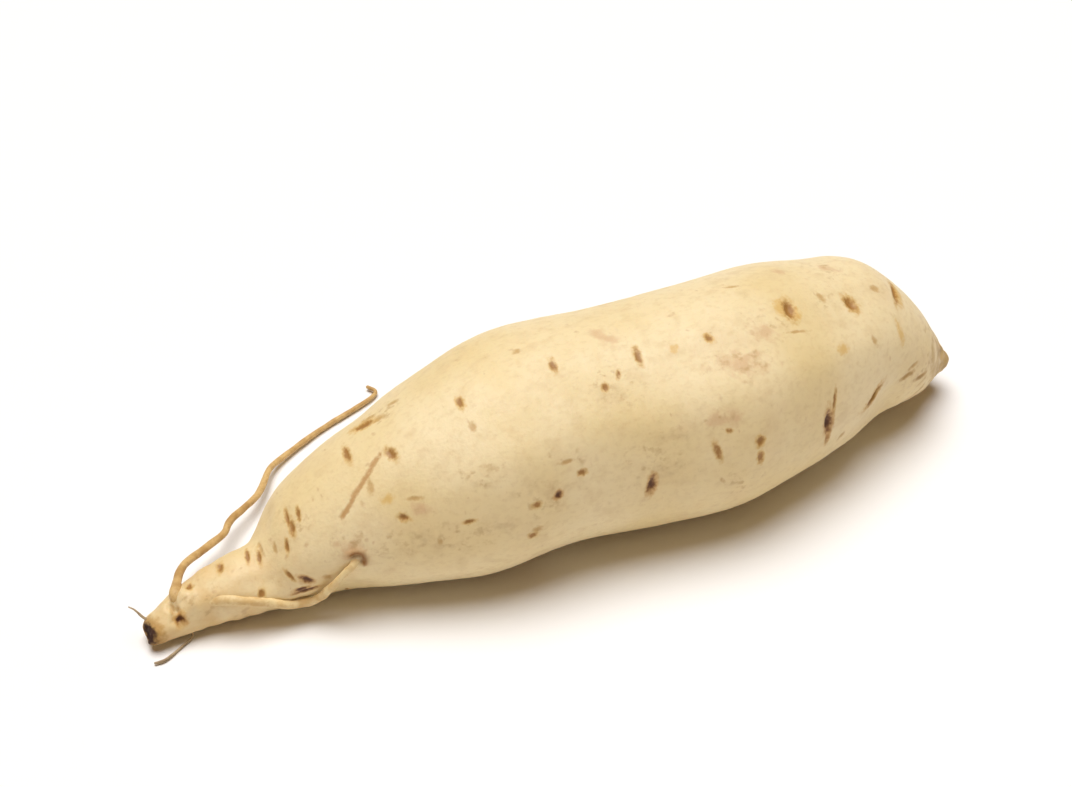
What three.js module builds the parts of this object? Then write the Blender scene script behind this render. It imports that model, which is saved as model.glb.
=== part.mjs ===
// A white-skinned sweet potato lying on its belly: one grown tuber, with four fine roots still on it.
// Millimetres. +X runs from the thin tail to the stem end, +Z is up, and the table is z = 0.
import * as THREE from 'three';
import { mergeVertices } from 'three/addons/utils/BufferGeometryUtils.js';

// ---- driving dimensions ----
const LENGTH = 200;            // the tuber, tail to stem end
const GIRTH = 51;              // across its widest section
const RINGS = 64;              // steps along the tuber
const SIDES = 60;              // steps around it
const ROOT_SIDES = 8;          // steps around a fine root
const ROOT_STEP = 2.2;         // length of a step along a fine root
const SHORT_STEP = 1.0;        // the same on the two short ones

// ---- the tuber's sections, tail to stem end, for a length of 200 and a girth of 51 ----
// x and y place a section's middle, lift is its underside's height, and half is half its width.
const FLATNESS = 0.97;         // a section's height for its width
const SECTIONS = [
  { x: -101, y: -18.5, lift: 3.5, half: 0 },
  { x: -100.5, y: -18.5, lift: 1, half: 3 },
  { x: -92, y: -17, lift: 1, half: 4.5 },
  { x: -82, y: -17.5, lift: 1, half: 6.5 },
  { x: -73, y: -17.5, lift: 1, half: 8.5 },
  { x: -66, y: -16.5, lift: 1, half: 12 },
  { x: -54, y: -17, lift: 0.5, half: 16.5 },
  { x: -40, y: -19, lift: 0, half: 20.5 },
  { x: -24, y: -20, lift: -0.5, half: 24 },
  { x: -6, y: -19.5, lift: -0.5, half: 25 },
  { x: 12, y: -22, lift: -0.5, half: 25 },
  { x: 30, y: -23.5, lift: -0.5, half: 25.5 },
  { x: 48, y: -20.5, lift: -0.5, half: 24.5 },
  { x: 64, y: -18, lift: 0.5, half: 22 },
  { x: 76, y: -16.5, lift: 2.5, half: 19 },
  { x: 86, y: -17, lift: 3, half: 14 },
  { x: 93, y: -17.5, lift: 4.5, half: 8 },
  { x: 97, y: -18, lift: 5, half: 4 },
  { x: 99, y: -18.5, lift: 7.5, half: 0 },
];
const LENGTH_SCALE = LENGTH / 200;
const GIRTH_SCALE = GIRTH / 51;

// ---- relief of the skin ----
// Angles are degrees around a section: 0 far side, 90 top, 180 near side, 270 underneath.
// Each swelling or dent fades over its reach along the tuber (mm) and around it (degrees).
const RELIEF = [
  { x: -93.5, angle: 120, along: 1.3, around: 60, rise: 0.5 },    // collar where the long root leaves
  { x: -83.0, angle: 60, along: 5.0, around: 50, rise: 0.6 },     // swelling of the tail
  { x: -75.0, angle: 95, along: 2.2, around: 60, rise: -1.6 },    // crease between tail and shoulder
  { x: -66.0, angle: 45, along: 5.0, around: 50, rise: 1.0 },     // shoulder over the crease
  { x: -45.0, angle: 45, along: 2.0, around: 25, rise: -0.4 },    // nick in the far outline
  { x: -37.0, angle: 30, along: 4.0, around: 20, rise: 0.8 },     // far side of the shoulder
  { x: -14.0, angle: 52, along: 9.0, around: 25, rise: 1.2 },     // broad lump on the far side
  { x: 14.0, angle: 52, along: 8.0, around: 25, rise: 0.7 },      // second lump beyond it
  { x: 28.0, angle: 118, along: 22.0, around: 12, rise: -0.5 },   // shallow valley along the top
  { x: 68.0, angle: 55, along: 6.0, around: 40, rise: -0.7 },     // flat before the crown
  { x: -30.0, angle: 225, along: 5.0, around: 25, rise: 0.7 },    // lump low on the near side
  { x: -12.0, angle: 225, along: 6.0, around: 25, rise: -0.6 },   // hollow beside it
  { x: 20.0, angle: 225, along: 12.0, around: 30, rise: 0.6 },    // belly
  { x: 70.0, angle: 202, along: 4.0, around: 30, rise: -1.4 },    // crease beside the stem stub
  { x: 93.5, angle: 130, along: 2.5, around: 60, rise: -0.6 },    // waist of the stem stub
];
// A soft edge parts the top from the near side.
const RIDGE = { angle: 142, from: -36, to: 70, fade: 14, reach: 9, rise: 0.7 };

// ---- the fine roots' routes, from the tuber outwards, chosen by hand ----
const LONG_ROUTE = [
  [-92.5, -18, 11], [-92, -14.5, 11.5], [-88, -7, 8], [-81, -1, 5.5], [-75, 2.5, 5], [-72, 6, 5],
  [-63, 13, 3.5], [-57, 21, 2.5], [-52, 25, 1.5], [-40, 31, 1], [-24, 37, 1], [-24, 41, 1],
];
const SIDE_ROUTE = [
  [-58.5, -33, 17.5], [-60, -33.5, 17], [-62, -31.5, 14.5], [-65, -30.5, 11], [-68, -29.5, 9],
  [-73, -27.5, 8], [-79, -26.5, 9.5], [-85, -24.5, 10.5], [-90, -21.5, 10.5],
];
const UNDER_ROUTE = [[-91.5, -20.5, 0.7], [-95, -22.5, 0.6], [-99, -24.5, 0.6], [-101.5, -24.5, 0.6]];
const TIP_ROUTE = [[-100.5, -16, 6.5], [-101.5, -14.5, 7.5], [-102.5, -13.5, 8]];

const wrap = (degrees) => THREE.MathUtils.euclideanModulo(degrees + 180, 360) - 180;
const bell = (distance) => Math.exp(-0.5 * distance * distance);

function reliefAt(x, angle) {
  const bumps = RELIEF.map((r) => r.rise * bell((x - r.x) / r.along) * bell(wrap(angle - r.angle) / r.around));
  const start = THREE.MathUtils.smoothstep(x, RIDGE.from - RIDGE.fade, RIDGE.from + RIDGE.fade);
  const end = 1 - THREE.MathUtils.smoothstep(x, RIDGE.to - RIDGE.fade, RIDGE.to + RIDGE.fade);
  const ridge = RIDGE.rise * start * end * bell(wrap(angle - RIDGE.angle) / RIDGE.reach);
  return bumps.reduce((sum, bump) => sum + bump, ridge);
}

// ---- the tuber ----
function smoothLine(read) {
  return new THREE.CatmullRomCurve3(SECTIONS.map(read), false, 'catmullrom', 0.5);
}

// A unit sphere's grid is laid over the sections: its poles are the two ends, its turns go around.
function tuberGeometry() {
  const middles = smoothLine((s) => new THREE.Vector3(s.x, s.y, s.lift + s.half * FLATNESS));
  const halves = smoothLine((s) => new THREE.Vector3(s.x, s.half, s.half * FLATNESS));
  const grid = new THREE.SphereGeometry(1, SIDES, RINGS);
  const place = grid.getAttribute('position');
  const uv = grid.getAttribute('uv');
  for (let i = 0; i < place.count; i += 1) {
    const t = 1 - uv.getY(i);
    const angle = -360 * Math.round(uv.getX(i) * SIDES) / SIDES;
    const middle = middles.getPoint(t);
    const half = halves.getPoint(t);
    const isEnd = t < 1e-6 || t > 1 - 1e-6;
    const swell = isEnd ? 0 : reliefAt(middle.x, angle);
    const radians = THREE.MathUtils.degToRad(angle);
    const y = middle.y + (Math.max(half.y, 0) * GIRTH_SCALE + swell) * Math.cos(radians);
    const z = middle.z * GIRTH_SCALE + (Math.max(half.z, 0) * GIRTH_SCALE + swell) * Math.sin(radians);
    place.setXYZ(i, middle.x * LENGTH_SCALE, y, Math.max(z, 0));
  }
  grid.deleteAttribute('normal');
  grid.deleteAttribute('uv');
  return mergeVertices(grid, 1e-3);
}

// ---- a fine root: a round tube along its route, thinning towards its end ----
function fineRootGeometry(route, step, startRadius, endRadius) {
  const path = new THREE.CatmullRomCurve3(route.map((p) => new THREE.Vector3(...p)), false, 'centripetal');
  const steps = Math.round(path.getLength() / step);
  const section = new THREE.Shape();
  section.absarc(0, 0, startRadius, 0, 2 * Math.PI);
  const tube = new THREE.ExtrudeGeometry(section, {
    extrudePath: path,
    steps,
    curveSegments: ROOT_SIDES / 2,
    bevelEnabled: false,
  });
  const middles = path.getSpacedPoints(steps);
  const place = tube.getAttribute('position');
  const point = new THREE.Vector3();
  for (let i = 0; i < place.count; i += 1) {
    point.fromBufferAttribute(place, i);
    const reach = middles.map((m) => m.distanceTo(point));
    const nearest = reach.indexOf(Math.min(...reach));
    const scale = THREE.MathUtils.lerp(1, endRadius / startRadius, nearest / steps);
    point.sub(middles[nearest]).multiplyScalar(scale).add(middles[nearest]);
    place.setXYZ(i, point.x, point.y, point.z);
  }
  tube.deleteAttribute('normal');
  tube.deleteAttribute('uv');
  return mergeVertices(tube, 1e-3);
}

// ---- the assembly ----
const sweetPotato = new THREE.Group();

function addPart(name, geometry, color, roughness) {
  geometry.computeVertexNormals();
  const material = new THREE.MeshStandardMaterial({ color, roughness, metalness: 0 });
  const mesh = new THREE.Mesh(geometry, material);
  mesh.name = name;
  sweetPotato.add(mesh);
}

addPart('tuber', tuberGeometry(), 0xe9d6a8, 0.6);
addPart('long_rootlet', fineRootGeometry(LONG_ROUTE, ROOT_STEP, 0.85, 0.55), 0xc9a26c, 0.7);
addPart('side_rootlet', fineRootGeometry(SIDE_ROUTE, ROOT_STEP, 0.85, 0.6), 0xd8b982, 0.7);
addPart('under_rootlet', fineRootGeometry(UNDER_ROUTE, SHORT_STEP, 0.4, 0.5), 0x8a6a48, 0.8);
addPart('tip_rootlet', fineRootGeometry(TIP_ROUTE, SHORT_STEP, 0.3, 0.2), 0x8d8674, 0.8);

// The origin is under the middle of the whole object, on the table.
const box = new THREE.Box3().setFromObject(sweetPotato);
const middle = box.getCenter(new THREE.Vector3());
sweetPotato.children.forEach((mesh) => mesh.position.set(-middle.x, -middle.y, -box.min.z));

export default sweetPotato;
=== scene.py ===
import math
import random

import bpy
import numpy as np
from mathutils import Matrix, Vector, noise
from mathutils.bvhtree import BVHTree


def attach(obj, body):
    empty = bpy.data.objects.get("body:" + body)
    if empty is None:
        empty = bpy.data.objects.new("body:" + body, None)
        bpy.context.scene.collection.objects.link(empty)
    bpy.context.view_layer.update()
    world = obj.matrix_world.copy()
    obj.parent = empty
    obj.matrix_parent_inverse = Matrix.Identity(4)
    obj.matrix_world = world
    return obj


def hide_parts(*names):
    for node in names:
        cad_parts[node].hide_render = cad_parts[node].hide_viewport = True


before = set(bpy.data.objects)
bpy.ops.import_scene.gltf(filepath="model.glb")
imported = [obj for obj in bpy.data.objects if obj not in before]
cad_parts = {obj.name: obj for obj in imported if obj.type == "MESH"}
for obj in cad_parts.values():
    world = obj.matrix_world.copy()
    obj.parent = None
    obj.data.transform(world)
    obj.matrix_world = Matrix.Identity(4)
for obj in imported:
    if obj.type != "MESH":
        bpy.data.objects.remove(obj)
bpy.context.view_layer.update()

# A white-skinned sweet potato. Blender works in metres; MM turns millimetres into them.
MM = 0.001

# Places on the skin are x along the tuber (mm) and degrees around it, seen from the tail:
# 0 far side, 90 top, 180 near side, 270 underneath. They are measured from this line inside the tuber.
SPINE = [(-99, -14.5, 5), (-74, -13.5, 9), (-50, -13, 17), (-20, -16, 23),
         (30, -19, 24), (64, -14, 22), (86, -13, 17), (97, -14, 9)]

# ---------------------------------------------------------------- marks of the skin
# Each is x, angle, length, width, tilt, depth: mm, and degrees from the tuber's length.
PITS = [
    (51, 176, 6, 2.5, 90, 1.1), (6, 177, 4.5, 2, 80, 0.8), (-15, 167, 2, 1.5, 45, 0.5),
    (-92, 165, 2.5, 2, 90, 0.8), (-66, 174, 3, 1.5, 150, 0.4), (-66, 191, 5, 1, 15, 0.3),
    (-67, 186, 3, 1, 15, 0.2),
]
BROWN_SCARS = [
    (49, 111, 5.5, 3, 75, 0.8), (66, 117, 4.5, 3, 105, 0.7), (51, 186, 4, 1.5, 90, 0.3),
    (53, 165, 5, 1, 75, 0.3), (31, 168, 2.5, 2, 90, 0.5), (31, 177, 3, 1.5, 90, 0.3),
    (81, 108, 7.5, 2, 60, 0.5), (11, 109, 4.5, 1.5, 80, 0.4), (21, 167, 4.5, 1.5, 105, 0.3),
    (-44, 110, 3.5, 2, 105, 0.4), (-66, 96, 4, 1, 75, 0.3), (-66, 109, 3.5, 1.5, 75, 0.3),
    (-68, 122, 3, 1, 75, 0.3), (-69, 160, 3, 1, 120, 0.3), (-75, 170, 2, 1.5, 75, 0.3),
    (-88, 72, 2, 1.5, 75, 0.3), (-81, 80, 3, 1.5, 75, 0.3), (-28, 102, 3, 1.5, 80, 0.3),
    (-7, 101, 3.5, 1.5, 80, 0.3), (27, 111, 2, 1.5, 120, 0.3), (-51, 89, 5, 1.5, 80, 0.3),
    (-45, 72, 5, 2.5, 150, 0.3), (66, 176, 7, 2, 20, 0.8), (5, 116, 2, 1, 60, 0.2),
    (-20, 169, 2, 1.5, 0, 0.2), (-21, 187, 2, 1.5, 0, 0.2), (24, 158, 1.5, 1, 150, 0.2),
    (-75, 90, 3.5, 1, 75, 0.2), (-73, 104, 3.5, 1, 75, 0.2), (-64, 103, 3, 1, 75, 0.2),
    (-46, 151, 2.5, 1.5, 150, 0.4), (-9, 159, 2, 1.5, 0, 0.3), (1, 121, 2, 1.5, 75, 0.3),
    (-34, 165, 2.5, 1, 0, 0.3),
]
FAINT_SCARS = [
    (-42, 76, 4, 2, 150, 0.2), (-43, 67, 4, 1.5, 160, 0.2), (-38, 70, 3.5, 1.5, 150, 0.1),
    (68, 142, 2.5, 1.5, 105, 0.1), (59, 109, 3, 2, 90, 0.1),
    (75, 107, 2.5, 2, 0, 0.1), (-43, 142, 4, 1, 170, 0.1), (-12, 151, 3, 1, 0, 0.1),
    (40, 84, 3.5, 1, 165, 0.1), (48, 124, 6, 0.7, 175, 0.1), (56, 192, 2.5, 1.5, 45, 0.2),
    (-72, 92, 3.5, 1, 80, 0.2), (-62, 180, 2, 1.5, 0, 0.1), (-70, 112, 3, 1, 75, 0.1),
    (-93, 106, 3.5, 1, 80, 0.3), (-92, 135, 4, 1, 85, 0.4), (-28, 118, 2.5, 1.5, 80, 0.1),
    (-12, 85, 2, 1.5, 0, 0.1), (-50, 124, 3, 1.5, 75, 0.1),
    (78, 172, 6, 1.5, 5, 0.4), (83, 178, 5, 1.5, 175, 0.4), (80, 165, 4, 1, 10, 0.2),
    (-40, 173, 2, 1, 90, 0.2), (22, 184, 2.5, 1, 120, 0.1), (-20, 184, 2.5, 1.5, 0, 0.2),
]
AMBER_SPOTS = [
    (47, 108, 4.5, 3, 75), (50, 114, 4, 2.5, 75), (77, 139, 6, 2, 90), (31, 168, 3, 2.5, 90),
    (31, 177, 3.5, 2, 90), (27, 111, 3, 2, 120), (66, 117, 4.5, 3, 105), (58, 141, 3.5, 2.5, 0),
    (19, 111, 2.5, 2, 75), (-48, 136, 3, 2, 10), (-45, 72, 6, 3.5, 150), (66, 176, 7, 3, 20),
    (-92, 165, 4, 3, 90), (82, 109, 8, 2.5, 65), (-28, 102, 3.5, 2, 90), (-98, 178, 5, 4, 90),
]
PINK_PATCHES = [
    (7, 93, 6.5, 4, 125), (54, 82, 4, 2.5, 150), (67, 84, 5, 3, 150), (-43, 149, 4, 3, 135),
    (31, 129, 12, 5, 165), (40, 118, 7, 4, 160), (-57, 158, 6, 4, 0), (24, 152, 8, 4, 170),
]
SOFT_STAINS = [
    (-16, 162, 18, 7, 170), (2, 126, 10, 5, 160), (12, 154, 10, 4, 175), (-43, 170, 12, 8, 160),
    (8, 170, 12, 5, 0), (-28, 172, 12, 5, 170), (-30, 148, 9, 3, 165), (-57, 163, 8, 7, 0),
]
FRECKLES = [        # places where small brown flecks are scattered
    (-43, 147, 6, 5, 160), (-30, 143, 16, 6, 165), (-19, 167, 14, 9, 160), (-36, 172, 14, 9, 165),
    (-48, 168, 12, 8, 0), (-12, 149, 11, 4, 165), (3, 122, 14, 10, 120), (31, 128, 15, 8, 165),
    (42, 116, 12, 8, 160), (60, 115, 10, 7, 0), (22, 152, 10, 6, 165), (66, 86, 12, 7, 160),
    (-66, 110, 12, 10, 75), (84, 172, 14, 8, 0), (8, 162, 16, 8, 0), (-57, 155, 10, 6, 0),
    (-20, 184, 7, 5, 0), (28, 190, 14, 6, 0), (-88, 130, 12, 8, 0), (-41, 72, 10, 8, 150),
]
SCRATCH = [(-46, 106), (-48, 110), (-50, 116), (-53, 121), (-55, 127), (-57, 131)]
SCRATCH_WIDTH, SCRATCH_DEPTH = 1.2, 0.12
MARK_THICKNESS = 4.0                 # mm that a mark reaches in and out of the skin
LIP_AT, LIP_BREADTH, LIP_SHARE = -0.25, 0.22, 0.12      # the raised edge of a cut mark, in its field
REFINED_TO = -0.6                    # the field out to which the mesh is refined

# The side that lies away or underneath gets marks in the same manner: how many, their greatest length and
# depth in mm.
UNSEEN = (222, 405)                  # degrees around that the landmarks above leave empty
UNSEEN_LENGTH = (-84, 86)
UNSEEN_PITS = (9, 5.0, 0.9)
UNSEEN_SCARS = (26, 4.5, 0.5)
UNSEEN_FAINT = (34, 4.0, 0.15)
UNSEEN_STAINS = 16
UNSEEN_FLECKED = 14
SPECKS = 420                         # all over

# ---------------------------------------------------------------- other places
RING_SCAR = (-56, 170)                    # the scar that the near fine root leaves
RING_RADIUS, RING_RISE, RING_HOLLOW = 2.0, 0.6, 0.5
RING_ZONE = (*RING_SCAR, 3.2 * RING_RADIUS, 3.2 * RING_RADIUS, 0)    # refined around the ring scar
TORN_END = Vector((-99.3, -15.2, 4.3))    # mm, the middle of the dark torn face at the tail's end
TORN_REACH, TORN_DEPTH = 2.9, 0.5
TORN_ZONE = (-95, 130, 14, 16, 0)         # refined around the tail's end
STEM_STUB = (97, 178)                     # tan and rough, where the stem was
STUB_REACH = 15.0
# Broad swellings and hollows: x, angle, reach and height in mm.
SWELLS = [
    (-57, 212, 6, -1.6), (-90.5, 60, 2.6, 0.2), (-97, 120, 3, -0.3), (-85, 150, 3, 0.3), (-79, 120, 3, 0.3),
    (-72, 140, 4, -0.4), (70, 190, 5, -0.9), (64, 178, 3, 0.4), (99, 176, 2.5, 0.7), (84, 170, 4, 0.4),
]
# Folds of the tail: places on the skin, width and height in mm, and the field where the fold begins.
TAIL_FOLDS = [
    # a ridge from the long root's collar to the pit
    ([(-90.5, 78), (-89, 95), (-89.5, 120), (-91, 145)], 3.0, 0.6, -0.4),
    # the ridge where the near fine root has grown in
    ([(-74, 182), (-79, 164), (-83, 148), (-88, 128)], 6.0, 0.6, -0.2),
    # a crease around the end
    ([(-93, 90), (-92.5, 120), (-93, 160), (-92, 185)], 2.0, -0.9, -0.6),
]
TAIL_FROM, TAIL_TO = -88, -58        # where the skin's colour turns from the tail's to the body's
TAIL_WAVES_FROM = -78                # its waves turn nearer the body
# Waves of the skin: height and size in mm, seed, stretch, and where they are.
SKIN_WAVES = [
    (0.22, 17, 1, (1, 1, 1), "everywhere"), (0.09, 7, 2, (1, 1, 1), "everywhere"),
    (0.035, 2.4, 3, (1.0, 1.6, 1.6), "everywhere"), (0.22, 2.2, 4, (1.0, 4.0, 4.0), "tail"),
    (0.7, 5.0, 8, (1.4, 1.0, 1.0), "tail"), (0.16, 3.6, 9, (0.7, 1.5, 1.5), "mostly tail"),
    (0.40, 2.6, 5, (2.4, 1.0, 1.0), "stub"), (0.25, 1.3, 6, (1, 1, 1), "stub"),
]

# ---------------------------------------------------------------- the fine roots, mm
# The CAD part puts its origin under the middle of the whole object, so its routes move by this much.
ROUTE_SHIFT = Vector((1.82, 4.08, 0))
# The CAD part's route from its third point on. Before that, the long root grows out of LONG_BASE.
LONG_BASE = (-91, 64)
LONG_ROUTE = [
    (-88, -7, 8), (-81, -1, 5.5), (-75, 2.5, 5), (-72, 6, 5), (-63, 13, 3.5), (-57, 21, 2.5),
    (-52, 25, 1.5), (-40, 31, 1), (-24, 37, 1), (-24, 41, 1),
]
# The near fine root lies on the skin all the way, so its route is places on the skin (x and degrees).
SIDE_ROUTE = [
    (-56, 171), (-58.5, 178), (-61, 188), (-63, 202), (-64.5, 209), (-66.5, 209), (-69.5, 204), (-74, 186),
    (-79, 168), (-83, 152), (-87, 138),
]
UNDER_ROUTE = [(-91.5, -20.5, 0.7), (-95, -22.5, 0.6), (-99, -24.5, 0.6), (-101.5, -24.5, 0.6)]
TIP_ROUTE = [(-100.5, -16, 6.5), (-101.5, -14.5, 7.5), (-102.5, -13.5, 8)]
# Along each root, from 0 to 1: the radius, and for the near one the height of its middle over the skin.
LONG_RADII = [(0, 1.7), (0.03, 1.35), (0.09, 1.0), (0.6, 0.78), (1, 0.5)]
SIDE_RADII = [(0, 0.9), (0.1, 0.85), (0.35, 0.95), (0.6, 1.0), (0.8, 1.2), (1, 1.3)]
SIDE_HEIGHTS = [(0, -0.7), (0.04, 0.6), (0.2, 1.0), (0.35, 1.0), (0.55, 1.0), (0.8, 0.7), (1, -1.1)]
UNDER_RADII = [(0, 0.22), (0.5, 0.26), (0.9, 0.4), (1, 0.3)]
TIP_RADII = [(0, 0.4), (0.5, 0.25), (1, 0.15)]
LONG_SUNK, LONG_OUT, DRY_SUNK = 1.6, 0.5, 0.6          # how far the ends start in or out of the skin
KNOBBLE_STEP, SWELL_STEP, SWELL_SHARE = 0.35, 0.13, 0.8


# ---------------------------------------------------------------- modelling tools
def deselect_all():
    if bpy.context.object and bpy.context.object.mode != "OBJECT":
        bpy.ops.object.mode_set(mode="OBJECT")
    bpy.ops.object.select_all(action="DESELECT")


def pick(obj):
    deselect_all()
    obj.select_set(True)
    bpy.context.view_layer.objects.active = obj


def apply_subdivision(obj, levels):
    pick(obj)
    modifier = obj.modifiers.new("smooth", "SUBSURF")
    modifier.levels = levels
    modifier.render_levels = levels
    bpy.ops.object.modifier_apply(modifier=modifier.name)


def read_vertices(mesh, what):
    flat = np.empty(len(mesh.vertices) * 3, np.float32)
    mesh.vertices.foreach_get(what, flat)
    return flat.reshape(-1, 3).astype(float)


def move_vertices(mesh, places):
    mesh.vertices.foreach_set("co", places.astype(np.float32).ravel())
    mesh.update()


def keep_on_mesh(mesh, name, values):
    attribute = mesh.attributes.new(name, "FLOAT", "POINT")
    attribute.data.foreach_set("value", values.astype(np.float32))


def ripple(points, size, seed, stretch=(1, 1, 1)):
    """Smooth noise from about -1 to 1 whose bumps are size mm across."""
    offset = Vector((seed * 13.7, seed * 7.1, seed * 3.3))
    scaled = points / (size * MM) / np.array(stretch)
    return np.array([noise.noise(Vector(p) + offset) for p in scaled])


def ease(values, low, high):
    t = np.clip((values - low) / (high - low), 0, 1)
    return t * t * (3 - 2 * t)


# ---------------------------------------------------------------- places on the skin
def spine_at(x):
    line = np.array(SPINE, float)
    y = np.interp(x, line[:, 0], line[:, 1])
    z = np.interp(x, line[:, 0], line[:, 2])
    return y, z


class Skin:
    """Finds places on the tuber's surface before the marks are cut in."""

    def __init__(self, obj):
        self.tree = BVHTree.FromObject(obj, bpy.context.evaluated_depsgraph_get())

    def place(self, x, angle):
        y, z = spine_at(x)
        turn = math.radians(angle)
        outwards = Vector((0, math.cos(turn), math.sin(turn)))
        start = Vector((x, y, z)) * MM
        point, normal, _, _ = self.tree.ray_cast(start, outwards)
        if point is None:
            point, normal, _, _ = self.tree.find_nearest(start + outwards * 5 * MM)
        return point, normal

    def nearest(self, point):
        found, normal, _, _ = self.tree.find_nearest(point)
        return found, normal


def mark_field(points, skin, mark):
    """1 at a mark's middle, 0 at its edge and lower outside it."""
    x, angle, length, width, tilt = mark[:5]
    middle, normal = skin.place(x, angle)
    along = (Vector((1, 0, 0)) - normal * normal.x).normalized()
    turn = math.radians(tilt)
    long_way = along * math.cos(turn) + normal.cross(along) * math.sin(turn)
    short_way = normal.cross(long_way)
    offset = points - np.array(middle)
    u = offset @ np.array(long_way) / (0.5 * length * MM)
    v = offset @ np.array(short_way) / (0.5 * width * MM)
    w = offset @ np.array(normal) / (MARK_THICKNESS * MM)
    return 1 - np.sqrt(u * u + v * v + w * w)


def patch_field(points, middle, reach):
    """The same for a round patch that may wrap over an end."""
    return 1 - np.linalg.norm(points - np.array(middle), axis=1) / (reach * MM)


def marks_field(points, skin, marks):
    field = np.full(len(points), -3.0)
    for mark in marks:
        field = np.maximum(field, mark_field(points, skin, mark))
    return field


def marks_depth(points, skin, marks):
    """How deep the marks cut, in mm: bowls whose edges are a little raised."""
    cut = np.zeros(len(points))
    for mark in marks:
        field = mark_field(points, skin, mark)
        depth = mark[5]
        lip = np.exp(-((field - LIP_AT) / LIP_BREADTH) ** 2)
        cut = np.maximum(cut, depth * ease(field, -0.1, 0.8)) - LIP_SHARE * depth * lip
    return cut


def line_field(points, skin, places, width):
    """The same kind of field as a mark's, for a line through several places."""
    ends = [np.array(skin.place(x, angle)[0]) for x, angle in places]
    distance = np.full(len(points), 1.0)
    for a, b in zip(ends, ends[1:]):
        t = np.clip((points - a) @ (b - a) / ((b - a) @ (b - a)), 0, 1)
        distance = np.minimum(distance, np.linalg.norm(points - a - t[:, None] * (b - a), axis=1))
    return 1 - distance / (0.5 * width * MM)


def unseen_marks(rng, count, longest, depth):
    """Marks like the landmarks, for the side that lies away or underneath."""
    marks = []
    for _ in range(count):
        x = rng.uniform(*UNSEEN_LENGTH)
        length = rng.uniform(0.35, 1.0) * longest
        tilt = rng.gauss(88, 22)
        marks.append((x, rng.uniform(*UNSEEN), length, length * rng.uniform(0.3, 0.6), tilt,
                      depth * rng.uniform(0.4, 1.0)))
    return marks


def unseen_patches(rng, count, x_range, lengths, widths, tilt, tilt_spread):
    """Wider patches for the same side."""
    return [(rng.uniform(*x_range), rng.uniform(*UNSEEN), rng.uniform(*lengths), rng.uniform(*widths),
             rng.gauss(tilt, tilt_spread)) for _ in range(count)]


def specks(rng, count):
    """Small pale-brown specks all over, a little longer across the tuber than along it."""
    marks = []
    for _ in range(count):
        length = rng.uniform(0.7, 1.8)
        marks.append((rng.uniform(-86, 88), rng.uniform(0, 360), length, length * rng.uniform(0.4, 0.8),
                      rng.gauss(95, 35)))
    return marks


# ---------------------------------------------------------------- the tuber
def refine_near_marks(obj, skin, marks):
    """Halves the mesh's step where a mark is cut in."""
    mesh = obj.data
    close = marks_field(read_vertices(mesh, "co"), skin, marks) > REFINED_TO
    pick(obj)
    bpy.ops.object.mode_set(mode="EDIT")
    bpy.ops.mesh.select_mode(type="FACE")
    bpy.ops.mesh.select_all(action="DESELECT")
    bpy.ops.object.mode_set(mode="OBJECT")
    for face in mesh.polygons:
        face.select = any(close[v] for v in face.vertices)
    bpy.ops.object.mode_set(mode="EDIT")
    bpy.ops.mesh.subdivide(number_cuts=1, smoothness=0)
    bpy.ops.object.mode_set(mode="OBJECT")


def stub_field(points, skin):
    return patch_field(points, skin.place(*STEM_STUB)[0], STUB_REACH)


def torn_field(points):
    return patch_field(points, TORN_END * MM, TORN_REACH)


def ring_scar(points, skin, radius, breadth):
    """A crescent on the ring scar, 1 on its line, open low and to the tail, where the fine root leaves."""
    middle, _ = skin.place(*RING_SCAR)
    offset = (points - np.array(middle)) / MM
    away = np.linalg.norm(offset, axis=1)
    facing = (offset[:, 2] + 0.9 * offset[:, 0]) / np.maximum(away, 0.01)
    return np.exp(-((away - radius) / breadth) ** 2) * ease(facing, -0.8, 0.2)


def skin_relief(points, skin, pits, scars, faint):
    """Height of the skin over the plain shape, in mm."""
    tail = 1 - ease(points[:, 0] / MM, TAIL_WAVES_FROM, TAIL_TO)
    stub = ease(stub_field(points, skin), 0.1, 0.7)
    share = {"everywhere": 1.0, "tail": tail, "mostly tail": 0.35 + tail, "stub": stub}
    height = np.zeros(len(points))
    for rise, size, seed, stretch, where in SKIN_WAVES:
        height += rise * share[where] * ripple(points, size, seed, stretch)
    for x, angle, reach, rise in SWELLS:
        middle, _ = skin.place(x, angle)
        away = np.linalg.norm(points - np.array(middle), axis=1) / (reach * MM)
        height += rise * np.exp(-away ** 2)
    for places, width, rise, begins in TAIL_FOLDS:
        height += rise * ease(line_field(points, skin, places, width), begins, 1.0)
    torn = ease(torn_field(points), -0.1, 0.5)
    height += TORN_DEPTH * torn * (ripple(points, 1.2, 7) - 1)
    for marks in (pits, scars, faint):
        height -= marks_depth(points, skin, marks)
    height -= SCRATCH_DEPTH * ease(line_field(points, skin, SCRATCH, SCRATCH_WIDTH), -0.2, 0.8)
    height += RING_RISE * ring_scar(points, skin, RING_RADIUS, 0.6)
    height -= RING_HOLLOW * ring_scar(points, skin, RING_RADIUS * 0.6, 0.5)
    return height


def smooth_copy_of_the_tuber():
    """The CAD tuber's mesh with its corners joined, in quads, and smoothed twice."""
    obj = bpy.data.objects.new("tuber_skin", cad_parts["tuber"].data.copy())
    bpy.context.scene.collection.objects.link(obj)
    obj.data.materials.clear()
    pick(obj)
    bpy.ops.object.mode_set(mode="EDIT")
    bpy.ops.mesh.select_all(action="SELECT")
    bpy.ops.mesh.remove_doubles(threshold=0.01 * MM)
    flat_enough = math.radians(60)
    bpy.ops.mesh.tris_convert_to_quads(face_threshold=flat_enough, shape_threshold=flat_enough)
    bpy.ops.object.mode_set(mode="OBJECT")
    apply_subdivision(obj, 2)
    return obj


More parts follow.
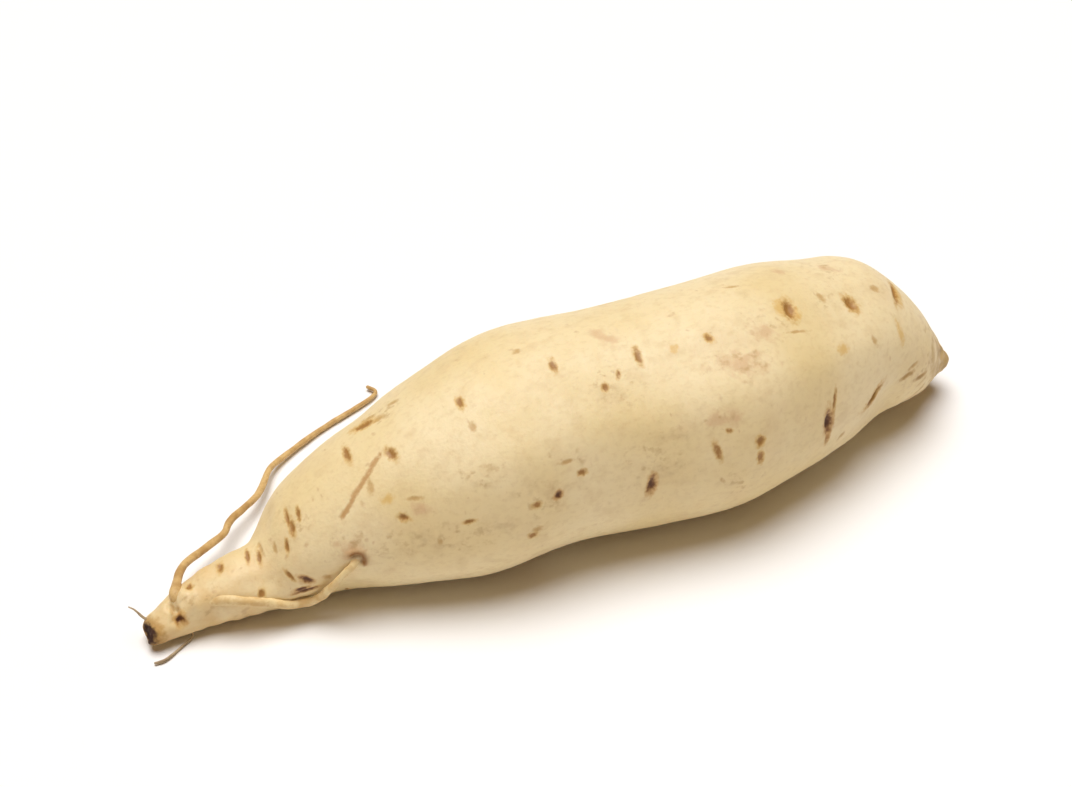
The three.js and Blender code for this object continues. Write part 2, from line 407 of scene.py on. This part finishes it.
def make_tuber_skin():
    obj = smooth_copy_of_the_tuber()
    skin = Skin(obj)

    rng = random.Random(7)
    pits = PITS + unseen_marks(rng, *UNSEEN_PITS)
    scars = BROWN_SCARS + unseen_marks(rng, *UNSEEN_SCARS)
    faint = FAINT_SCARS + unseen_marks(rng, *UNSEEN_FAINT)
    stains = SOFT_STAINS + unseen_patches(rng, UNSEEN_STAINS, (-60, 80), (5, 16), (3, 7), 175, 20)
    flecked = FRECKLES + unseen_patches(rng, UNSEEN_FLECKED, (-80, 85), (6, 16), (5, 9), 170, 15)
    refine_near_marks(obj, skin, pits + scars + faint + [RING_ZONE, TORN_ZONE])

    mesh = obj.data
    points = read_vertices(mesh, "co")
    fields = {
        "pit": marks_field(points, skin, pits),
        "scar": marks_field(points, skin, scars),
        "faint": marks_field(points, skin, faint),
        "stain": marks_field(points, skin, stains),
        "speck": marks_field(points, skin, specks(rng, SPECKS)),
        "freckle": marks_field(points, skin, flecked),
        "amber": marks_field(points, skin, AMBER_SPOTS),
        "pink": marks_field(points, skin, PINK_PATCHES),
        "scratch": line_field(points, skin, SCRATCH, SCRATCH_WIDTH),
        "ring": ring_scar(points, skin, RING_RADIUS * 0.8, 0.9),
        "tail": 1 - ease(points[:, 0] / MM, TAIL_FROM, TAIL_TO),
        "stub": stub_field(points, skin),
        "torn": torn_field(points),
    }
    for name, values in fields.items():
        keep_on_mesh(mesh, name, values)

    height = skin_relief(points, skin, pits, scars, faint)
    moved = points + read_vertices(mesh, "normal") * height[:, None] * MM
    moved[:, 2] = np.maximum(moved[:, 2], 0)
    move_vertices(mesh, moved)
    pick(obj)
    bpy.ops.object.shade_smooth()
    obj.data.materials.append(skin_material())
    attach(obj, "root")
    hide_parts("tuber")
    return skin


# ---------------------------------------------------------------- fine roots
def smooth_route(points, steps):
    """Evenly spaced places on a smooth curve through the points."""
    p = [points[0] * 2 - points[1]] + points + [points[-1] * 2 - points[-2]]
    dense = []
    for i in range(1, len(p) - 2):
        for k in range(12):
            t = k / 12
            a = p[i] * 2
            b = (p[i + 1] - p[i - 1]) * t
            c = (p[i - 1] * 2 - p[i] * 5 + p[i + 1] * 4 - p[i + 2]) * t * t
            d = (p[i] * 3 - p[i - 1] - p[i + 1] * 3 + p[i + 2]) * t * t * t
            dense.append((a + b + c + d) * 0.5)
    dense.append(p[-2])
    lengths = np.concatenate([[0], np.cumsum([(b - a).length for a, b in zip(dense, dense[1:])])])
    table = np.array(dense)
    wanted = np.linspace(0, lengths[-1], steps + 1)
    return [Vector([np.interp(w, lengths, table[:, k]) for k in range(3)]) for w in wanted]


def read_off(rows, share):
    """The value at a share of a root's length, from rows of (share, value)."""
    return float(np.interp(share, [row[0] for row in rows], [row[1] for row in rows]))


def lay_on_skin(route, skin, heights):
    """Brings each place of a route to its own height over the skin."""
    laid = []
    for i, point in enumerate(route):
        found, normal = skin.nearest(point)
        laid.append(found + normal * read_off(heights, i / (len(route) - 1)) * MM)
    return laid


def grow_from_skin(route, skin):
    """The route of a dry root, begun a little inside the skin."""
    points = route_points(route)
    base, normal = skin.nearest(points[0])
    return [base - normal * DRY_SUNK * MM] + points


def tube_along(name, route, radii, knobbles, seed, sides=10):
    """A cylinder is cut into rings, and each ring is carried to its place on the route."""
    rings = len(route) - 1
    deselect_all()
    bpy.ops.mesh.primitive_cylinder_add(vertices=sides, radius=1, depth=rings, location=(0, 0, rings / 2),
                                        end_fill_type="TRIFAN")
    obj = bpy.context.object
    obj.name = name
    obj.data.name = name
    bpy.ops.object.transform_apply(location=True, rotation=True, scale=True)
    mesh = obj.data
    bpy.ops.object.mode_set(mode="EDIT")
    bpy.ops.mesh.select_mode(type="EDGE")
    bpy.ops.mesh.select_all(action="DESELECT")
    bpy.ops.object.mode_set(mode="OBJECT")
    for edge in mesh.edges:
        low, high = (mesh.vertices[v].co.z for v in edge.vertices)
        edge.select = abs(high - low) > 0.5
    bpy.ops.object.mode_set(mode="EDIT")
    bpy.ops.mesh.subdivide(number_cuts=rings - 1)
    bpy.ops.object.mode_set(mode="OBJECT")

    side_way = Vector((0, 0, 1))
    frames = []
    for i, point in enumerate(route):
        ahead = (route[min(i + 1, rings)] - route[max(i - 1, 0)]).normalized()
        side_way = (side_way - ahead * side_way.dot(ahead)).normalized()
        frames.append((point, side_way.copy(), ahead.cross(side_way)))
    offset = Vector((seed * 5.1, seed * 2.7, 0))
    for vertex in mesh.vertices:
        ring = min(max(round(vertex.co.z), 0), rings)
        point, a, b = frames[ring]
        lump = 1 + knobbles * noise.noise(Vector((ring * KNOBBLE_STEP, vertex.co.x, vertex.co.y)) + offset)
        swell = 1 + SWELL_SHARE * knobbles * noise.noise(Vector((ring * SWELL_STEP, 3.1, 0)) + offset)
        reach = read_off(radii, ring / rings) * lump * swell * MM
        vertex.co = point + a * vertex.co.x * reach + b * vertex.co.y * reach
    mesh.update()
    apply_subdivision(obj, 1)
    places = read_vertices(mesh, "co")
    places[:, 2] = np.maximum(places[:, 2], 0)
    move_vertices(mesh, places)
    pick(obj)
    bpy.ops.object.shade_smooth()
    return obj


def route_points(route):
    return [(Vector(p) + ROUTE_SHIFT) * MM for p in route]


def finish_root(obj, node, material):
    obj.data.materials.append(material)
    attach(obj, "root")
    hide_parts(node)


def make_fine_roots(skin):
    fibre = root_material("root_fibre", (0.68, 0.46, 0.19), (0.48, 0.28, 0.09), 0.6)
    pale_fibre = root_material("pale_root_fibre", (0.82, 0.65, 0.34), (0.66, 0.44, 0.18), 0.6)
    dry = root_material("dry_fibre", (0.50, 0.38, 0.23), (0.26, 0.18, 0.10), 0.8)

    base, normal = skin.place(*LONG_BASE)
    points = [base - normal * LONG_SUNK * MM, base + normal * LONG_OUT * MM] + route_points(LONG_ROUTE)
    long_root = tube_along("long_fine_root", smooth_route(points, 110), LONG_RADII, 0.18, 1)
    finish_root(long_root, "long_rootlet", fibre)

    points = [skin.place(*place)[0] for place in SIDE_ROUTE]
    laid = lay_on_skin(smooth_route(points, 80), skin, SIDE_HEIGHTS)
    side_root = tube_along("side_fine_root", laid, SIDE_RADII, 0.22, 2)
    finish_root(side_root, "side_rootlet", pale_fibre)

    points = grow_from_skin(UNDER_ROUTE, skin)
    under_root = tube_along("under_fine_root", smooth_route(points, 34), UNDER_RADII, 0.3, 3, 8)
    finish_root(under_root, "under_rootlet", dry)

    points = grow_from_skin(TIP_ROUTE, skin)
    tip_root = tube_along("tip_fine_root", smooth_route(points, 20), TIP_RADII, 0.25, 4, 8)
    finish_root(tip_root, "tip_rootlet", dry)


# ---------------------------------------------------------------- materials
class Finish:
    """A material's nodes, with one short call for each kind."""

    def __init__(self, name):
        self.material = bpy.data.materials.new(name)
        self.material.use_nodes = True
        self.tree = self.material.node_tree
        self.shader = self.tree.nodes["Principled BSDF"]
        self.place = self.node("ShaderNodeTexCoord").outputs["Object"]

    def node(self, kind, **settings):
        made = self.tree.nodes.new(kind)
        for name, value in settings.items():
            setattr(made, name, value)
        return made

    def feed(self, socket, value):
        if isinstance(value, bpy.types.NodeSocket):
            self.tree.links.new(value, socket)
        elif isinstance(value, tuple) and len(value) == 3 and socket.type == "RGBA":
            socket.default_value = (*value, 1)
        else:
            socket.default_value = value

    def grain(self, size, detail=3.0, stretch=(1, 1, 1), shift=0.0):
        """Noise whose patches are about size mm across."""
        mapping = self.node("ShaderNodeMapping")
        self.feed(mapping.inputs["Vector"], self.place)
        self.feed(mapping.inputs["Scale"], tuple(1 / s for s in stretch))
        self.feed(mapping.inputs["Location"], (shift, shift * 0.7, shift * 0.3))
        texture = self.node("ShaderNodeTexNoise")
        self.feed(texture.inputs["Vector"], mapping.outputs["Vector"])
        self.feed(texture.inputs["Scale"], 1 / (size * MM))
        self.feed(texture.inputs["Detail"], detail)
        return texture.outputs["Fac"]

    def attribute(self, name):
        return self.node("ShaderNodeAttribute", attribute_name=name).outputs["Fac"]

    def maths(self, operation, a, b):
        sum_node = self.node("ShaderNodeMath", operation=operation)
        self.feed(sum_node.inputs[0], a)
        self.feed(sum_node.inputs[1], b)
        return sum_node.outputs[0]

    def between(self, value, low, high, top=1.0):
        """0 below low and top above high, with a soft step."""
        step = self.node("ShaderNodeMapRange", interpolation_type="SMOOTHSTEP")
        self.feed(step.inputs["Value"], value)
        self.feed(step.inputs["From Min"], low)
        self.feed(step.inputs["From Max"], high)
        self.feed(step.inputs["To Max"], top)
        return step.outputs["Result"]

    def mix(self, share, a, b):
        mixer = self.node("ShaderNodeMix", data_type="RGBA")
        self.feed(mixer.inputs["Factor"], share)
        self.feed(mixer.inputs[6], a)
        self.feed(mixer.inputs[7], b)
        return mixer.outputs[2]

    def bump(self, height, strength, distance):
        bump = self.node("ShaderNodeBump")
        self.feed(bump.inputs["Strength"], strength)
        self.feed(bump.inputs["Distance"], distance * MM)
        self.feed(bump.inputs["Height"], height)
        self.feed(self.shader.inputs["Normal"], bump.outputs["Normal"])


CREAM, WARM_CREAM = (0.86, 0.72, 0.44), (0.80, 0.64, 0.335)
TAIL_TAN = (0.71, 0.48, 0.20)
STAIN_BROWN = (0.60, 0.44, 0.22)
FRECKLE_BROWN = (0.52, 0.34, 0.14)
RING_BROWN = (0.31, 0.13, 0.02)
# Mottling of the skin: patch size (mm), detail, stretch, shift, noise from and to, strength, colour.
MOTTLES = [
    (4.5, 4.0, (1, 0.8, 0.8), 1.0, 0.5, 0.75, 0.42, (0.70, 0.53, 0.28)),
    (9, 3.0, (1.6, 1, 1), 2.0, 0.55, 0.75, 0.3, (0.72, 0.54, 0.31)),
    (1.6, 4.0, (1, 0.7, 0.7), 11.0, 0.45, 0.75, 0.3, (0.66, 0.49, 0.24)),
    (0.8, 2.0, (1, 1, 1), 3.0, 0.6, 0.75, 0.14, (0.56, 0.36, 0.17)),
]
# Colours of the marks, each over those before it: field, kind of edge, field from and to, strength, colour.
PALE_MARKS = [
    ("pink", "soft", -0.5, 0.8, 0.75, (0.68, 0.46, 0.25)),
    ("stub", "soft", -0.3, 0.5, 0.8, (0.59, 0.40, 0.15)),
    ("stub", "soft", 0.4, 1.2, 0.75, (0.42, 0.26, 0.08)),
    ("amber", "rough", -0.5, 0.6, 0.75, (0.70, 0.45, 0.13)),
    ("speck", "rough", -0.3, 0.9, 0.5, (0.55, 0.35, 0.17)),
]
THIN_MARKS = [
    ("faint", "rough", -0.5, 0.7, 0.75, (0.52, 0.31, 0.10)),
    ("scratch", "rough", -0.5, 0.7, 0.8, (0.48, 0.25, 0.075)),
]
DARK_MARKS = [
    ("scar", "rough", -0.8, 0.2, 0.7, (0.66, 0.42, 0.13)),
    ("scar", "rough", -0.3, 0.6, 0.9, (0.34, 0.155, 0.03)),
    ("pit", "rough", -0.9, 0.1, 0.75, (0.58, 0.32, 0.09)),
    ("pit", "rough", -0.3, 0.5, 0.95, (0.24, 0.10, 0.028)),
    ("pit", "rough", 0.1, 0.8, 0.85, (0.10, 0.034, 0.010)),
    ("torn", "ragged", -0.8, -0.1, 0.85, (0.46, 0.26, 0.07)),
    ("torn", "ragged", -0.15, 0.25, 1.0, (0.05, 0.018, 0.008)),
]


def skin_material():
    f = Finish("sweet_potato_skin")
    even = (1, 1, 1)
    colour = f.mix(f.between(f.grain(28, 2.0), 0.35, 0.7), CREAM, WARM_CREAM)
    for size, detail, stretch, shift, low, high, strength, tint in MOTTLES:
        share = f.between(f.grain(size, detail, stretch, shift), low, high, strength)
        colour = f.mix(share, colour, tint)
    tail = f.maths("MULTIPLY", f.attribute("tail"), f.between(f.grain(6, 3.0, even, 4.0), 0.2, 0.8, 0.9))
    colour = f.mix(tail, colour, TAIL_TAN)

    rough_edge = f.maths("MULTIPLY", f.maths("SUBTRACT", f.grain(1.0, 3.0, even, 6.0), 0.5), 1.5)
    soft_edge = f.maths("MULTIPLY", f.maths("SUBTRACT", f.grain(2.6, 5.0, even, 7.0), 0.5), 3.2)
    edges = {"rough": rough_edge, "soft": soft_edge, "ragged": f.maths("MULTIPLY", rough_edge, 0.45)}

    def inside(field, edge, low, high, strength):
        return f.between(f.maths("ADD", f.attribute(field), edges[edge]), low, high, strength)

    def painted(colour, marks):
        for field, edge, low, high, strength, tint in marks:
            colour = f.mix(inside(field, edge, low, high, strength), colour, tint)
        return colour

    flecks = f.maths("ADD", f.between(f.grain(1.3, 4.0, (1.4, 1, 1), 12.0), 0.35, 0.7, 0.7), 0.3)
    stains = f.maths("MULTIPLY", inside("stain", "soft", -0.1, 1.1, 0.6), flecks)
    colour = f.mix(stains, colour, STAIN_BROWN)
    colour = painted(colour, PALE_MARKS)
    dots = f.between(f.grain(1.5, 2.0, (1.2, 1, 1), 14.0), 0.5, 0.7)
    freckles = f.maths("MULTIPLY", inside("freckle", "soft", -0.3, 1.0, 0.6), dots)
    colour = f.mix(freckles, colour, FRECKLE_BROWN)
    colour = painted(colour, THIN_MARKS)
    broken = f.between(rough_edge, -0.9, -0.2)
    colour = f.mix(f.maths("MULTIPLY", f.attribute("ring"), broken), colour, RING_BROWN)
    colour = painted(colour, DARK_MARKS)
    f.feed(f.shader.inputs["Base Color"], colour)

    plain = f.maths("ADD", f.between(f.grain(3.5, 4.0, even, 8.0), 0.2, 0.8, 0.2), 0.46)
    f.feed(f.shader.inputs["Roughness"], f.maths("ADD", plain, inside("torn", "ragged", -0.15, 0.25, 0.35)))
    f.shader.inputs["Subsurface Weight"].default_value = 0.12
    f.shader.inputs["Subsurface Radius"].default_value = (0.0022, 0.0013, 0.0007)
    f.shader.inputs["Subsurface Scale"].default_value = 1.0
    f.shader.inputs["Specular IOR Level"].default_value = 0.5
    fine = f.maths("ADD", f.grain(0.7, 4.0, even, 9.0), f.grain(2.2, 3.0, (1, 2, 2), 10.0))
    f.bump(fine, 0.4, 0.2)
    return f.material


def root_material(name, light, dark, roughness):
    f = Finish(name)
    colour = f.mix(f.between(f.grain(3, 4.0), 0.35, 0.7), light, dark)
    colour = f.mix(f.between(f.grain(0.6, 3.0, (1, 1, 1), 1.0), 0.5, 0.7, 0.5), colour, dark)
    f.feed(f.shader.inputs["Base Color"], colour)
    uneven = f.maths("ADD", f.between(f.grain(1.5), 0.3, 0.7, 0.2), roughness - 0.1)
    f.feed(f.shader.inputs["Roughness"], uneven)
    f.bump(f.grain(0.5, 4.0, (1, 1, 1), 2.0), 0.5, 0.12)
    return f.material


def floor_material():
    f = Finish("white_table")
    f.feed(f.shader.inputs["Base Color"], f.mix(f.grain(60, 2.0), (0.90, 0.90, 0.90), (0.91, 0.91, 0.905)))
    f.shader.inputs["Roughness"].default_value = 0.9
    f.shader.inputs["Specular IOR Level"].default_value = 0.1
    return f.material


# ---------------------------------------------------------------- the setting
FLOOR_SIZE = 8.0
SOFTLIGHT_SPREAD = 48                             # degrees
CAMERA_AZIMUTH, CAMERA_HEIGHT = -27, 38           # degrees
CAMERA_DISTANCE = 0.569
LOOK_AT = Vector((0.0019, 0.0039, 0.019))
OVERHEAD_PLACE, OVERHEAD_STRENGTH = (-0.02, 0.105, 1.05), 3.35
FRONT_PLACE, FRONT_POWER, FRONT_SIZE = (-0.35, -1.1, 0.30), 0.6, 0.8
PURE_WHITE, WARM_WHITE = (1, 1, 1), (1, 0.88, 0.70)
GLOW_COLOUR, GLOW_STRENGTH = (1.0, 0.58, 0.28, 1), 0.135     # warm light from all round
BACKDROP_COLOUR, BACKDROP_STRENGTH = (1.0, 1.0, 1.0, 1), 0.95


def make_floor():
    deselect_all()
    bpy.ops.mesh.primitive_plane_add(size=FLOOR_SIZE, location=(0, 0, 0))
    floor = bpy.context.object
    floor.name = "table_top"
    floor.data.materials.append(floor_material())


def add_light(name, data, place, energy, colour):
    """Hangs a light at a place, turned to the tuber."""
    data.energy = energy
    data.color = colour
    light = bpy.data.objects.new(name, data)
    light.location = place
    light.rotation_euler = (LOOK_AT - Vector(place)).to_track_quat("-Z", "Y").to_euler()
    bpy.context.scene.collection.objects.link(light)


def make_lights():
    """A wide soft light from above and a weak one low in front."""
    above = bpy.data.lights.new("overhead_softlight", "SUN")
    above.angle = math.radians(SOFTLIGHT_SPREAD)
    add_light("overhead_softlight", above, OVERHEAD_PLACE, OVERHEAD_STRENGTH, PURE_WHITE)
    front = bpy.data.lights.new("low_front_softbox", "AREA")
    front.shape = "DISK"
    front.size = FRONT_SIZE
    add_light("low_front_softbox", front, FRONT_PLACE, FRONT_POWER, WARM_WHITE)


def make_world():
    """Dim warm light from all round, and a pale backdrop where the camera sees past the table."""
    world = bpy.data.worlds.new("studio")
    world.use_nodes = True
    nodes = world.node_tree.nodes
    links = world.node_tree.links
    glow = nodes["Background"]
    glow.inputs["Color"].default_value = GLOW_COLOUR
    glow.inputs["Strength"].default_value = GLOW_STRENGTH
    backdrop = nodes.new("ShaderNodeBackground")
    backdrop.inputs["Color"].default_value = BACKDROP_COLOUR
    backdrop.inputs["Strength"].default_value = BACKDROP_STRENGTH
    seen = nodes.new("ShaderNodeLightPath")
    both = nodes.new("ShaderNodeMixShader")
    links.new(seen.outputs["Is Camera Ray"], both.inputs["Fac"])
    links.new(glow.outputs["Background"], both.inputs[1])
    links.new(backdrop.outputs["Background"], both.inputs[2])
    links.new(both.outputs["Shader"], nodes["World Output"].inputs["Surface"])
    bpy.context.scene.world = world
    bpy.context.scene.view_settings.view_transform = "Standard"


def make_camera():
    azimuth = math.radians(CAMERA_AZIMUTH)
    height = math.radians(CAMERA_HEIGHT)
    level = math.cos(height)
    back = Vector((math.sin(azimuth) * level, -math.cos(azimuth) * level, math.sin(height)))
    data = bpy.data.cameras.new("camera")
    data.lens = 85
    data.sensor_width = 36
    data.clip_start = 0.01
    data.clip_end = 50
    camera = bpy.data.objects.new("camera", data)
    camera.location = LOOK_AT + back * CAMERA_DISTANCE
    camera.rotation_euler = (-back).to_track_quat("-Z", "Y").to_euler()
    bpy.context.scene.collection.objects.link(camera)
    bpy.context.scene.camera = camera


make_fine_roots(make_tuber_skin())
make_floor()
make_lights()
make_world()
make_camera()
